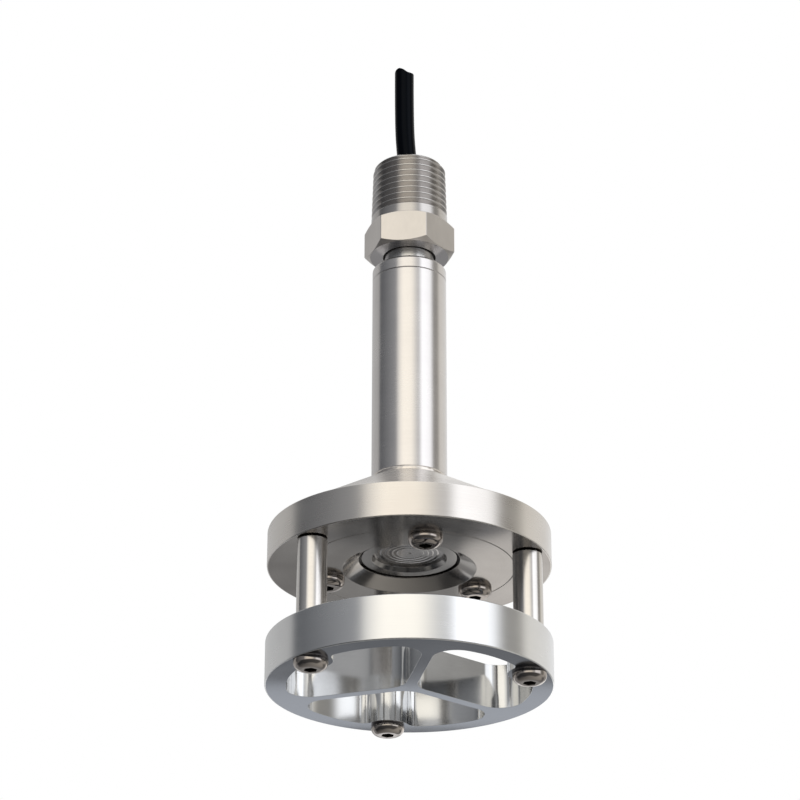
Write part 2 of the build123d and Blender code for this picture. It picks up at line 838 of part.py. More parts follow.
# Cable: up through the gland, out of the fitting, and a short length that leans to one side.
# Each point of its route is a sideways lean and a level.
cable_route = [
    (0.0, bush_bottom),
    (0.0, gland_top + 5.0),
    (1.22, gland_top + 16.83),
    (1.45, gland_top + 28.83),
    (1.44, gland_top + 40.53),
]
lean_x = cos(radians(cable_lean_angle))
lean_y = sin(radians(cable_lean_angle))
cable_points = [Vector(lean * lean_x, lean * lean_y, level) for lean, level in cable_route]


def bend_radii(points):
    """The largest arc that fits at each inner point of the route."""
    radii = []
    for before, here, after in zip(points, points[1:], points[2:]):
        shorter_run = min((here - before).length, (after - here).length)
        turn = (here - before).get_angle(after - here)
        radii.append(0.45 * shorter_run / tan(radians(turn / 2)))
    return radii


cable_radii = bend_radii(cable_points)
print("cable bend radii, mm:", [round(radius) for radius in cable_radii])
with BuildLine() as cable_path:
    FilletPolyline(*cable_points, radius=cable_radii)
cable_length = cable_path.wires()[0].length
print("cable length, mm:", round(cable_length, 2))


def swept_along_cable(places, radius, hole_radius=0):
    """Round strands that follow the cable's path, each set off from its middle."""
    with BuildPart() as strands:
        with BuildSketch(Plane.XY.offset(bush_bottom)):
            with Locations(*places):
                Circle(radius)
                if hole_radius:
                    Circle(hole_radius, mode=Mode.SUBTRACT)
        sweep(path=cable_path.wires()[0])
    return strands.part


with BuildPart() as cable_jacket:
    add(swept_along_cable([(0, 0)], cable_radius, cable_bore_radius))
jacket_area = pi * (cable_radius**2 - cable_bore_radius**2)
jacket_share = cable_jacket.part.volume / (jacket_area * cable_length)
print("jacket volume over section times length:", round(jacket_share, 4))
cable_jacket.part.label = "cable_jacket"
export_step(cable_jacket.part, "parts/cable_jacket.step")

# Conductors: four insulated wires that run on below the jacket to the long board
conductor_places = [
    (
        conductor_circle_radius * cos(radians(45 + turn * 360 / conductor_count)),
        conductor_circle_radius * sin(radians(45 + turn * 360 / conductor_count)),
    )
    for turn in range(conductor_count)
]
with BuildPart() as cable_conductors:
    add(swept_along_cable(conductor_places, conductor_radius))
    with BuildSketch(Plane.XY.offset(bush_bottom)):
        with Locations(*conductor_places):
            Circle(conductor_radius)
    extrude(amount=board_top - conductor_overlap - bush_bottom)
cable_conductors.part.label = "cable_conductors"
export_step(cable_conductors.part, "parts/cable_conductors.step")

# Vent tube: brings outside air to the back of the pressure cell
with BuildPart() as vent_tube:
    add(swept_along_cable([(0, 0)], vent_tube_radius))
    with BuildSketch(Plane.XY.offset(bush_bottom)):
        Circle(vent_tube_radius)
    extrude(amount=board_top - vent_tube_overlap - bush_bottom)
vent_tube.part.label = "vent_tube"
export_step(vent_tube.part, "parts/vent_tube.step")
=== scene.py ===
import math

import bpy
import numpy as np
from mathutils import Matrix, Vector
from mathutils.geometry import tessellate_polygon


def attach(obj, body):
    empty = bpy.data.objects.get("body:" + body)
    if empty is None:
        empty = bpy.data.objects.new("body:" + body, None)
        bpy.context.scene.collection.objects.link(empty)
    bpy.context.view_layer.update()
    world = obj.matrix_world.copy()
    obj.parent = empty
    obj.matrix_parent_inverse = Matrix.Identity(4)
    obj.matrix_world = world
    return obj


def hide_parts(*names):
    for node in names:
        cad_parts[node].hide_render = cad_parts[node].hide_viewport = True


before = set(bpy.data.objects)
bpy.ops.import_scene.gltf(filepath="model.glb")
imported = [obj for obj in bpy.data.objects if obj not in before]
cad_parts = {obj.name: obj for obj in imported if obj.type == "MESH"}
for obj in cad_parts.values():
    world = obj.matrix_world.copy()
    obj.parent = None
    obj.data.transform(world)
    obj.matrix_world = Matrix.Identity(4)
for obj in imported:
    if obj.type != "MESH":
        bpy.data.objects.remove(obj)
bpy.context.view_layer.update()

# A submersible level transmitter, hung in a white studio and seen from below. Sizes are in mm.
MM = 0.001

# Sizes that several pieces share
plate_radius = 38.1
guard_bottom = 2.57
guard_top = 14.67
post_circle = 33.1
post_height = 21.3
screw_hole = 2.565
flange_bottom = guard_top + post_height
holder_shoulder = 40.47
disc_top = 41.97
seat_top = 43.97
seat_radius = 15.55
cone_top = 61.07
tube_bore = 8.75
tube_radius = 10.3
seam = 121.77
cap_top = 125.57
neck_radius = 6.9
neck_top = 142.87
groove_radius = 6.15
groove_bottom = 129.97
groove_top = 131.47
hex_bottom = 129.57
hex_top = 138.97
fitting_top = 157.87
gland_top = 149.97
fitting_mouth = 5.0

# Degrees that turn a bearing in the part's frame into one counted from the camera
camera_bearing = 100.25


# Camera: below the part, looking up at it
camera_data = bpy.data.cameras.new("camera")
camera_data.lens = 129.23
camera_data.sensor_width = 36.0
camera_data.clip_end = 20.0
camera = bpy.data.objects.new("camera", camera_data)
bpy.context.scene.collection.objects.link(camera)
pitch, yaw, roll = 0.4290, 0.17533, 0.00152
forward = Vector((math.sin(yaw) * math.cos(pitch), math.cos(yaw) * math.cos(pitch), math.sin(pitch)))
level_right = Vector((math.cos(yaw), -math.sin(yaw), 0.0))
level_up = level_right.cross(forward)
right = level_right * math.cos(roll) + level_up * math.sin(roll)
up = level_up * math.cos(roll) - level_right * math.sin(roll)
turn = Matrix((right, up, -forward)).transposed()
camera.matrix_world = Matrix.Translation((-0.12769, -0.70613, -0.2425)) @ turn.to_4x4()
bpy.context.scene.camera = camera


# Mesh helpers
def unit(vector):
    """The vector, or each row of an array, at length one."""
    vector = np.asarray(vector, float)
    size = np.linalg.norm(vector, axis=-1, keepdims=True)
    return vector / np.where(size == 0, 1, size)


def on_circle(radius, degrees):
    """The place on a circle about the axis, at an angle from +X."""
    return radius * math.cos(math.radians(degrees)), radius * math.sin(math.radians(degrees))


def grid_normals(points, closed=True):
    """Normals of a grid of points from its own slopes; closed where the second direction runs round."""
    along = np.gradient(points, axis=0)
    if closed:
        across = np.roll(points, -1, axis=1) - np.roll(points, 1, axis=1)
    else:
        across = np.gradient(points, axis=1)
    return unit(np.cross(across, along))


def build(name, strips, materials, location=(0, 0, 0)):
    """One mesh from strips of (points, normals, closed, material number), in mm."""
    verts, normals, faces, marks = [], [], [], []
    start = 0
    for points, shading, closed, mark in strips:
        rows, columns = points.shape[:2]
        row, column = np.meshgrid(
            np.arange(rows - 1), np.arange(columns if closed else columns - 1), indexing="ij"
        )
        after = (column + 1) % columns
        quads = np.stack(
            [
                row * columns + column,
                row * columns + after,
                (row + 1) * columns + after,
                (row + 1) * columns + column,
            ],
            axis=-1,
        ).reshape(-1, 4)
        flat = points.reshape(-1, 3)
        shade = shading.reshape(-1, 3)
        corner = flat[quads]
        facing = np.cross(corner[:, 2] - corner[:, 0], corner[:, 3] - corner[:, 1])
        agree = np.sum(facing * shade[quads].sum(axis=1))
        if agree < 0:
            quads = quads[:, ::-1]
        for quad in quads:
            kept = []
            for index in quad:
                if not kept or all(np.abs(flat[index] - flat[k]).max() > 1e-6 for k in kept):
                    kept.append(index)
            if len(kept) > 2:
                faces.append([start + int(k) for k in kept])
                marks.append(mark)
        verts.append(flat)
        normals.append(shade)
        start += len(flat)
    verts, normals = np.concatenate(verts), np.concatenate(normals)
    return finish_mesh(name, verts, normals, faces, marks, materials, location)


def finish_mesh(name, verts, normals, faces, marks, materials, location=(0, 0, 0)):
    """The object made from points, normals and faces, in mm."""
    mesh = bpy.data.meshes.new(name)
    mesh.from_pydata((verts * MM).tolist(), [], faces)
    mesh.polygons.foreach_set("use_smooth", [True] * len(faces))
    mesh.polygons.foreach_set("material_index", marks)
    for material in materials:
        mesh.materials.append(material)
    mesh.normals_split_custom_set_from_vertices(unit(normals).tolist())
    piece = bpy.data.objects.new(name, mesh)
    bpy.context.scene.collection.objects.link(piece)
    piece.location = [value * MM for value in location]
    return piece


def soften(outline, steps=4):
    """Splits a closed outline of (radius, height, rounding) corners into runs of points with normals."""
    points = np.array([corner[:2] for corner in outline], float)
    rounding = [corner[2] if len(corner) > 2 else 0.0 for corner in outline]
    count = len(points)
    runs = []
    run = []
    for step in range(count + 1):
        here = points[step % count]
        before = unit(here - points[(step - 1) % count])
        after = unit(points[(step + 1) % count] - here)
        first = np.array([before[1], -before[0]])
        second = np.array([after[1], -after[0]])
        size = rounding[step % count]
        if size == 0:
            if run:
                run.append((here, first))
                runs.append(run)
            run = [(here, second)]
            continue
        begin = here - before * size
        end = here + after * size
        if step == count:
            run.append((begin, first))
            continue
        for share in np.linspace(0, 1, steps + 1):
            place = (1 - share) ** 2 * begin + 2 * share * (1 - share) * here + share**2 * end
            run.append((place, unit((1 - share) * first + share * second)))
    if len(run) > 1:
        runs.append(run)
    return runs


def turned_strips(runs, segments=180, mark=0):
    """Strips made by turning runs of (radius, height) points about the axis."""
    angle = np.linspace(0, 2 * np.pi, segments, endpoint=False)
    strips = []
    for run in runs:
        place = np.array([item[0] for item in run])
        shade = np.array([item[1] for item in run])
        points = np.stack(
            [
                place[:, :1] * np.cos(angle),
                place[:, :1] * np.sin(angle),
                np.repeat(place[:, 1:], segments, axis=1),
            ],
            axis=-1,
        )
        normals = np.stack(
            [
                shade[:, :1] * np.cos(angle),
                shade[:, :1] * np.sin(angle),
                np.repeat(shade[:, 1:], segments, axis=1),
            ],
            axis=-1,
        )
        strips.append((points, normals, True, mark))
    return strips


def place_piece(piece, slot_name, *nodes):
    """Hangs a piece on the part's one body, in the place of the named nodes."""
    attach(piece, "root")
    if nodes:
        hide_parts(*nodes)
    return piece


# Materials
def new_material(name):
    material = bpy.data.materials.new(name)
    material.use_nodes = True
    tree = material.node_tree
    shader = tree.nodes["Principled BSDF"]
    return material, tree, shader


def math_node(tree, operation, *inputs):
    node = tree.nodes.new("ShaderNodeMath")
    node.operation = operation
    for socket, value in zip(node.inputs, inputs):
        if isinstance(value, (int, float)):
            socket.default_value = value
        else:
            tree.links.new(value, socket)
    return node.outputs[0]


def lathe_space(tree, across, around, along):
    """Coordinates that run across the radius, round the axis and along the axis, each at its own scale."""
    place = tree.nodes.new("ShaderNodeTexCoord")
    split = tree.nodes.new("ShaderNodeSeparateXYZ")
    tree.links.new(place.outputs["Object"], split.inputs[0])
    x, y, z = split.outputs
    squares = [math_node(tree, "MULTIPLY", value, value) for value in (x, y)]
    radius = math_node(tree, "SQRT", math_node(tree, "ADD", *squares))
    angle = math_node(tree, "ARCTAN2", y, x)
    join = tree.nodes.new("ShaderNodeCombineXYZ")
    tree.links.new(math_node(tree, "MULTIPLY", radius, across), join.inputs[0])
    tree.links.new(math_node(tree, "MULTIPLY", angle, around), join.inputs[1])
    tree.links.new(math_node(tree, "MULTIPLY", z, along), join.inputs[2])
    return join.outputs[0]


def noise(tree, vector, scale, detail=3.0, roughness=0.6):
    node = tree.nodes.new("ShaderNodeTexNoise")
    node.inputs["Scale"].default_value = scale
    node.inputs["Detail"].default_value = detail
    node.inputs["Roughness"].default_value = roughness
    tree.links.new(vector, node.inputs["Vector"])
    return node.outputs["Fac"]


def spread(tree, value, low, high, to_low, to_high):
    node = tree.nodes.new("ShaderNodeMapRange")
    tree.links.new(value, node.inputs[0])
    for socket, number in zip(node.inputs[1:5], (low, high, to_low, to_high)):
        socket.default_value = number
    return node.outputs[0]


def mix_tones(tree, share, first, second):
    node = tree.nodes.new("ShaderNodeMix")
    node.data_type = "RGBA"
    tree.links.new(share, node.inputs[0])
    node.inputs[6].default_value = (*first, 1)
    node.inputs[7].default_value = (*second, 1)
    return node.outputs[2]


def metal(name, tone, dark_tone, roughness, lay, grain, streak=(2500.0, 1.0, 2500.0), wear=0.04):
    """Metal with a machined lay: tones that drift, a fine grain along the lay, and stretched gloss."""
    material, tree, shader = new_material(name)
    shader.inputs["Metallic"].default_value = 1.0
    shader.inputs["Anisotropic"].default_value = lay
    shader.inputs["Anisotropic Rotation"].default_value = 0.25
    if lay:
        tangent = tree.nodes.new("ShaderNodeTangent")
        tangent.direction_type = "RADIAL"
        tangent.axis = "Z"
        tree.links.new(tangent.outputs[0], shader.inputs["Tangent"])
    coords = tree.nodes.new("ShaderNodeTexCoord")
    drift = noise(tree, coords.outputs["Object"], 60.0, 2.0)
    fine = noise(tree, lathe_space(tree, *streak), 1.0, 2.0, 0.55)
    drift_share = math_node(tree, "MULTIPLY", drift, 0.75)
    fine_share = math_node(tree, "MULTIPLY", fine, 0.25)
    both = math_node(tree, "ADD", drift_share, fine_share)
    tone_share = spread(tree, both, 0.35, 0.65, 0.0, 1.0)
    tree.links.new(mix_tones(tree, tone_share, dark_tone, tone), shader.inputs["Base Color"])
    gloss = spread(tree, both, 0.3, 0.7, roughness - wear, roughness + wear)
    tree.links.new(gloss, shader.inputs["Roughness"])
    if grain:
        bump = tree.nodes.new("ShaderNodeBump")
        bump.inputs["Strength"].default_value = 1.0
        bump.inputs["Distance"].default_value = grain * MM
        tree.links.new(fine, bump.inputs["Height"])
        tree.links.new(bump.outputs[0], shader.inputs["Normal"])
    return material


def plain(name, tone, roughness, speck=0.0, metallic=0.0, shine=0.5):
    """Plastic, rubber, glass or plated metal with a faint unevenness."""
    material, tree, shader = new_material(name)
    shader.inputs["Metallic"].default_value = metallic
    shader.inputs["Specular IOR Level"].default_value = shine
    coords = tree.nodes.new("ShaderNodeTexCoord")
    drift = noise(tree, coords.outputs["Object"], 900.0, 2.0)
    darker = tuple(value * 0.82 for value in tone)
    tree.links.new(mix_tones(tree, drift, darker, tone), shader.inputs["Base Color"])
    gloss = spread(tree, drift, 0.3, 0.7, roughness - 0.05, roughness + 0.05)
    tree.links.new(gloss, shader.inputs["Roughness"])
    if speck:
        bump = tree.nodes.new("ShaderNodeBump")
        bump.inputs["Distance"].default_value = speck * MM
        tree.links.new(drift, bump.inputs["Height"])
        tree.links.new(bump.outputs[0], shader.inputs["Normal"])
    return material


# Finishes: tone, darker tone, roughness, stretch of the gloss, height of the grain
flange_finish = metal("flange_finish", (0.71, 0.685, 0.655), (0.63, 0.60, 0.575), 0.27, 0.85, 0.0002)
# The flange's underside: the same steel as its rim at about half the tone, painted shade for the face that
# looks down
flange_face_painted_shade = metal(
    "flange_face_painted_shade", (0.385, 0.365, 0.345), (0.315, 0.295, 0.28), 0.14, 0.75, 0.0, wear=0.03
)
tube_finish = metal("tube_finish", (0.69, 0.67, 0.66), (0.62, 0.60, 0.595), 0.25, 0.80, 0.0002)
rim_finish = metal("rim_finish", (0.76, 0.765, 0.77), (0.69, 0.695, 0.705), 0.25, 0.85, 0.0002)
# Dark blue-grey steel for the ring's flat faces: painted shade, far darker than the ring's walls
ring_face_painted_shade = metal("ring_face_painted_shade", (0.18, 0.195, 0.225), (0.155, 0.17, 0.20), 0.10, 0.20, 0.0)
pocket_finish = metal(
    "pocket_finish",
    (0.68, 0.685, 0.69),
    (0.59, 0.595, 0.60),
    0.13,
    0.0,
    0.0012,
    streak=(300.0, 3.0, 3500.0),
    wear=0.03,
)
post_finish = metal("post_finish", (0.70, 0.68, 0.66), (0.63, 0.61, 0.595), 0.22, 0.85, 0.0004, wear=0.03)
# The screw heads: stainless steel in a darker brown tone, painted shade
screw_painted_shade = metal("screw_painted_shade", (0.38, 0.345, 0.32), (0.31, 0.28, 0.26), 0.07, 0.0, 0.0, wear=0.02)
# Near-black steel for the screw sockets and the posts' top reliefs: painted shade in these recesses
painted_recess_shade = metal("painted_recess_shade", (0.10, 0.09, 0.08), (0.05, 0.045, 0.04), 0.40, 0.0, 0.0)
# The retainer disc: steel in a darker tone, painted shade for a face that looks down
disc_painted_shade = metal("disc_painted_shade", (0.40, 0.38, 0.36), (0.33, 0.31, 0.29), 0.15, 0.75, 0.0, wear=0.03)
# The sensor holder: steel in a darker tone, painted shade for a face that looks down
holder_painted_shade = metal("holder_painted_shade", (0.35, 0.34, 0.33), (0.29, 0.28, 0.27), 0.18, 0.60, 0.0, wear=0.03)
# The diaphragm: steel in a darker tone, painted shade for a face that looks down
diaphragm_painted_shade = metal(
    "diaphragm_painted_shade", (0.39, 0.38, 0.375), (0.32, 0.31, 0.305), 0.18, 0.30, 0.0, wear=0.03
)
neck_finish = metal("neck_finish", (0.72, 0.71, 0.70), (0.64, 0.63, 0.62), 0.22, 0.85, 0.0003, wear=0.03)
hex_finish = metal(
    "hex_finish", (0.61, 0.58, 0.555), (0.52, 0.495, 0.475), 0.30, 0.20, 0.0008, streak=(300.0, 8.0, 300.0)
)
hex_face_finish = metal(
    "hex_face_finish", (0.63, 0.61, 0.61), (0.55, 0.53, 0.53), 0.14, 0.30, 0.0, wear=0.03
)
thread_finish = metal("thread_finish", (0.56, 0.54, 0.525), (0.46, 0.445, 0.435), 0.22, 0.60, 0.0)
bead_finish = metal(
    "bead_finish", (0.74, 0.70, 0.66), (0.62, 0.58, 0.54), 0.24, 0.0, 0.002, streak=(300.0, 30.0, 300.0)
)
inner_finish = metal("inner_finish", (0.58, 0.57, 0.56), (0.50, 0.49, 0.48), 0.30, 0.0, 0.002)
gold_finish = plain("gold_finish", (0.80, 0.60, 0.25), 0.25, metallic=1.0)
rubber_finish = plain("rubber_finish", (0.012, 0.013, 0.018), 0.40, 0.004)
jacket_finish = plain("jacket_finish", (0.0008, 0.0012, 0.0025), 0.20, 0.0, shine=0.05)
jacket_shader = jacket_finish.node_tree.nodes["Principled BSDF"]
jacket_shader.inputs["Specular Tint"].default_value = (0.75, 0.85, 1.0, 1)
board_finish = plain("board_finish", (0.04, 0.20, 0.09), 0.35)
chip_finish = plain("chip_finish", (0.02, 0.02, 0.02), 0.55)
silicon_finish = plain("silicon_finish", (0.16, 0.18, 0.23), 0.20)
can_finish = plain("can_finish", (0.72, 0.69, 0.62), 0.30)
moulded_and_bore_shade_finish = plain("moulded_and_bore_shade_finish", (0.06, 0.06, 0.065), 0.50)
wire_finish = plain("wire_finish", (0.50, 0.05, 0.04), 0.40)
vent_finish = plain("vent_finish", (0.80, 0.80, 0.77), 0.45)
bead_glass_finish = plain("bead_glass_finish", (0.20, 0.32, 0.27), 0.15)


# Cable: a smooth curve through its route, with the cut end as a short sleeve on top
cable_radius = 2.75
cable_bearing = math.radians(169.75)
lean_x, lean_y = math.cos(cable_bearing), math.sin(cable_bearing)
cable_route = [
    (0.0, 0.14347),
    (0.0, 0.15497),
    (0.00122, 0.16680),
    (0.00145, 0.17880),
    (0.001445, 0.18700),
]
cable_data = bpy.data.curves.new("cable", "CURVE")
cable_data.dimensions = "3D"
cable_data.bevel_depth = cable_radius * MM
cable_data.bevel_resolution = 14
cable_data.resolution_u = 64
cable_data.use_fill_caps = True
cable_line = cable_data.splines.new("NURBS")
cable_line.points.add(len(cable_route) - 1)
for point, (lean, level) in zip(cable_line.points, cable_route):
    point.co = (lean * lean_x, lean * lean_y, level, 1.0)
cable_line.order_u = 3
cable_line.use_endpoint_u = True
cable_data.materials.append(jacket_finish)
cable = bpy.data.objects.new("cable", cable_data)
bpy.context.scene.collection.objects.link(cable)


def cable_tip():
    """The last bit of the cable: a hollow jacket with the wavy edge of the cut, wires and air tube inside."""
    foot, inner, fill_level = 186.0, 2.0, 187.6
    wire_circle, wire_radius, wire_top = 1.25, 0.62, 188.25
    vent_radius, vent_top, core_radius = 0.58, 188.4, 0.32
    angle = np.linspace(0, 2 * np.pi, 96, endpoint=False)
    facing = (np.degrees(angle) + camera_bearing + 180) % 360 - 180
    marks = [-180, -135, -90, -62, -34, -8, 18, 45, 70, 88, 115, 150, 180]
    heights = [188.9, 189.2, 189.75, 190.2, 190.4, 189.8, 188.85, 188.9, 189.15, 189.2, 188.8, 188.7, 188.9]
    edge = np.interp(facing, marks, heights)
    for _ in range(4):
        edge = (np.roll(edge, 1) + 2 * edge + np.roll(edge, -1)) / 4
    centre = np.array([1.445 * lean_x, 1.445 * lean_y, 0.0])

    def row(radius, height):
        height = np.broadcast_to(height, angle.shape)
        return np.stack([radius * np.cos(angle), radius * np.sin(angle), height], axis=-1) + centre

    jacket = np.array(
        [
            row(cable_radius, foot),
            row(cable_radius, edge - 0.10),
            row(cable_radius - 0.04, edge - 0.03),
            row(cable_radius - 0.12, edge),
            row(inner + 0.10, edge + 0.02),
            row(inner, edge + 0.12),
            row(inner, foot),
        ]
    )
    fill = np.array([row(inner, fill_level), row(0.0, fill_level)])
    fill_up = np.broadcast_to([0.0, 0.0, 1.0], fill.shape).copy()
    strips = [(jacket, grid_normals(jacket), True, 0), (fill, fill_up, True, 1)]
    small = np.linspace(0, 2 * np.pi, 24, endpoint=False)
    round_way = np.column_stack([np.cos(small), np.sin(small), np.zeros(len(small))])
    up_way = np.broadcast_to([0.0, 0.0, 1.0], round_way.shape)

    def core(place, size, top, core_level, mark, core_mark):
        base = centre + np.array([*place, 0.0])
        wall = np.array([base + size * round_way + [0, 0, level] for level in (foot, top - 0.04)])
        cap = np.array([base + radius * round_way + [0, 0, top] for radius in (size - 0.04, core_radius)])
        middle = np.array([base + radius * round_way + [0, 0, core_level] for radius in (core_radius, 0.0)])
        strips.append((wall, np.array([round_way, round_way]), True, mark))
        strips.append((cap, np.array([up_way, up_way]), True, mark))
        strips.append((middle, np.array([up_way, up_way]), True, core_mark))

    for number in range(4):
        top = wire_top + 0.12 * (number % 2)
        core(on_circle(wire_circle, 45 + 90 * number), wire_radius, top, top + 0.02, 2, 4)
    # The air tube's bore is closed 0.6 mm down by a disc in the black moulded finish: painted shade for the
    # hollow
    core((0.0, 0.0), vent_radius, vent_top, vent_top - 0.6, 3, 1)
    return build("cable_tip", strips, [jacket_finish, moulded_and_bore_shade_finish, wire_finish, vent_finish, gold_finish])


tip = cable_tip()
place_piece(tip, "cable_rubber", "cable_conductors", "vent_tube")
place_piece(cable, "cable_rubber", "cable_jacket")


# Guard ring: three pockets with soft edges, three bosses
def arc(centre, radius, start, end, inward, step=2.0):
    """Points of an arc with normals towards its centre, or away from it."""
    count = max(3, int(abs(end - start) / math.radians(step)) + 1)
    angle = np.linspace(start, end, count)
    direction = np.stack([np.cos(angle), np.sin(angle)], axis=-1)
    return np.array(centre) + radius * direction, direction * (-1 if inward else 1)


def pocket_outline():
    """One pocket of the ring, centred on +Y, as points with normals that face into the pocket."""
    rim, half_spoke, hub_r, rim_r, boss_r, boss_corner = 32.4, 1.5, 7.0, 6.2, 5.785, 3.0
    boss = np.array([0.0, post_circle])
    along = np.array([math.cos(math.radians(30)), math.sin(math.radians(30))])
    side = np.array([-along[1], along[0]])
    hub = np.array([0.0, (half_spoke + hub_r) / math.sin(math.radians(60))])
    corner_far = math.sqrt((rim - rim_r) ** 2 - (half_spoke + rim_r) ** 2)
    corner = corner_far * along + (half_spoke + rim_r) * side
    fillet_y = ((rim - boss_corner) ** 2 - (boss_r + boss_corner) ** 2 + boss[1] ** 2) / (2 * boss[1])
    fillet = np.array([math.sqrt((rim - boss_corner) ** 2 - fillet_y**2), fillet_y])
    pieces = []
    pieces.append(arc(hub, hub_r, -math.pi / 2, -math.pi / 3, True))
    straight_start = hub - hub_r * side
    straight_end = corner_far * along + half_spoke * side
    share = np.linspace(0, 1, 12)[1:-1, None]
    straight = straight_start * (1 - share) + straight_end * share
    pieces.append((straight, np.repeat(side[None], len(straight), axis=0)))
    rim_angle = math.atan2(corner[1], corner[0])
    pieces.append(arc(corner, rim_r, -math.pi / 3, rim_angle, True))
    fillet_angle = math.atan2(fillet[1], fillet[0])
    pieces.append(arc((0, 0), rim, rim_angle + 0.01, fillet_angle - 0.005, True))
    to_boss = math.atan2(boss[1] - fillet[1], boss[0] - fillet[0])
    pieces.append(arc(fillet, boss_corner, fillet_angle, to_boss, True, 6.0))
    from_boss = math.atan2(fillet[1] - boss[1], fillet[0] - boss[0])
    pieces.append(arc(boss, boss_r, from_boss - 0.03, -math.pi / 2, False))
    points = np.concatenate([piece[0] for piece in pieces])
    normals = np.concatenate([piece[1] for piece in pieces])
    mirror = np.array([-1.0, 1.0])
    points = np.concatenate([points, (points * mirror)[::-1][1:-1]])
    normals = np.concatenate([normals, (normals * mirror)[::-1][1:-1]])
    return points, normals


def circle_outline(centre, radius, count, inward):
    angle = np.linspace(0, 2 * np.pi, count, endpoint=False)
    direction = np.stack([np.cos(angle), np.sin(angle)], axis=-1)
    return np.array(centre) + radius * direction, direction * (-1 if inward else 1)


def turn_by(points, degrees):
    c, s = math.cos(math.radians(degrees)), math.sin(math.radians(degrees))
    return points @ np.array([[c, s], [-s, c]])


post_places = [on_circle(post_circle, degrees) for degrees in (90.0, 210.0, 330.0)]


def guard_ring():
    """The ring's walls and edges as one piece, and its flat faces as another."""
    loops = [(*circle_outline((0, 0), plate_radius, 256, False), 0.35, 0)]
    for degrees in (0, 120, 240):
        points, normals = pocket_outline()
        loops.append((turn_by(points, degrees), turn_by(normals, degrees), 0.05, 2))
    for place in post_places:
        loops.append((*circle_outline(place, screw_hole, 32, True), 0.1, 2))
    strips = []
    face_loops = []
    for points, normals, edge, mark in loops:
        rows, shades = [], []
        levels = [(guard_bottom, -1, np.linspace(0, 1, 5)), (guard_top, 1, np.linspace(1, 0, 5))]
        for level, sign, shares in levels:
            for share in shares:
                tilt = share * math.pi / 2
                out = edge * (math.sin(tilt) - 1)
                rise = level - sign * edge * (1 - math.cos(tilt))
                plan = points + normals * out
                rows.append(np.column_stack([plan, np.full(len(plan), rise)]))
                upward = np.full(len(plan), sign * math.cos(tilt))
                shades.append(np.column_stack([normals * math.sin(tilt), upward]))
        strips.append((np.array(rows), np.array(shades), True, mark))
        face_loops.append(points - normals * edge)
    ring = build("guard_ring_piece", strips, [rim_finish, ring_face_painted_shade, pocket_finish])
    verts, shade, faces = [], [], []
    flat = np.concatenate(face_loops)
    loops_3d = [[Vector((x, y, 0)) for x, y in loop] for loop in face_loops]
    triangles = tessellate_polygon(loops_3d)
    for level, sign in ((guard_bottom, -1), (guard_top, 1)):
        start = sum(len(v) for v in verts)
        verts.append(np.column_stack([flat, np.full(len(flat), level)]))
        shade.append(np.repeat([[0.0, 0.0, float(sign)]], len(flat), axis=0))
        for a, b, c in triangles:
            ab, ac = flat[b] - flat[a], flat[c] - flat[a]
            upward = ab[0] * ac[1] - ab[1] * ac[0]
            if abs(upward) < 1e-9:
                continue
            order = (a, b, c) if upward * sign > 0 else (a, c, b)
            faces.append([start + k for k in order])
    verts, shade = np.concatenate(verts), np.concatenate(shade)
    # Painted shade: the flat faces take the dark blue-grey steel
    faces_piece = finish_mesh("guard_ring_faces", verts, shade, faces, [0] * len(faces), [ring_face_painted_shade])
    return ring, faces_piece


for piece in guard_ring():
    place_piece(piece, "guard_metal", "guard_ring")


# Posts, with painted shade: a near-black finish on the small relief at their upper ends
post_radius, post_relief, post_edge = 3.97, 0.42, 3.55
post_outline = [
    (screw_hole, 0, 0.1),
    (post_edge, 0, 0.05),
    (post_radius, post_relief, 0.05),
    (post_radius, post_height - post_relief, 0.05),
    (post_edge, post_height, 0.05),
    (screw_hole, post_height, 0.1),
]
for number, place in enumerate(post_places):
    strips = turned_strips(soften(post_outline), 96)
    post = build(f"post_{number}", strips, [post_finish, painted_recess_shade], (*place, guard_top))
    # Painted shade: the polygons of the top relief take the near-black finish
    for polygon in post.data.polygons:
        if polygon.center.z > (post_height - 0.38) * MM:
            polygon.material_index = 1
    place_piece(post, "post_steel", "spacer_posts")


# Button-head screws with a hexagon socket
def dome(start, through, end, count):
    """Points and outward normals of the arc through three points."""
    (ax, ay), (bx, by), (cx, cy) = start, through, end
    d = 2 * (ax * (by - cy) + bx * (cy - ay) + cx * (ay - by))
    ux = ((ax**2 + ay**2) * (by - cy) + (bx**2 + by**2) * (cy - ay) + (cx**2 + cy**2) * (ay - by)) / d
    uy = ((ax**2 + ay**2) * (cx - bx) + (bx**2 + by**2) * (ax - cx) + (cx**2 + cy**2) * (bx - ax)) / d
    radius = math.hypot(ax - ux, ay - uy)
    first, last = math.atan2(ay - uy, ax - ux), math.atan2(cy - uy, cx - ux)
    angle = np.linspace(first, last, count)
    direction = np.stack([np.cos(angle), np.sin(angle)], axis=-1)
    return [(np.array([ux, uy]) + radius * way, way) for way in direction]


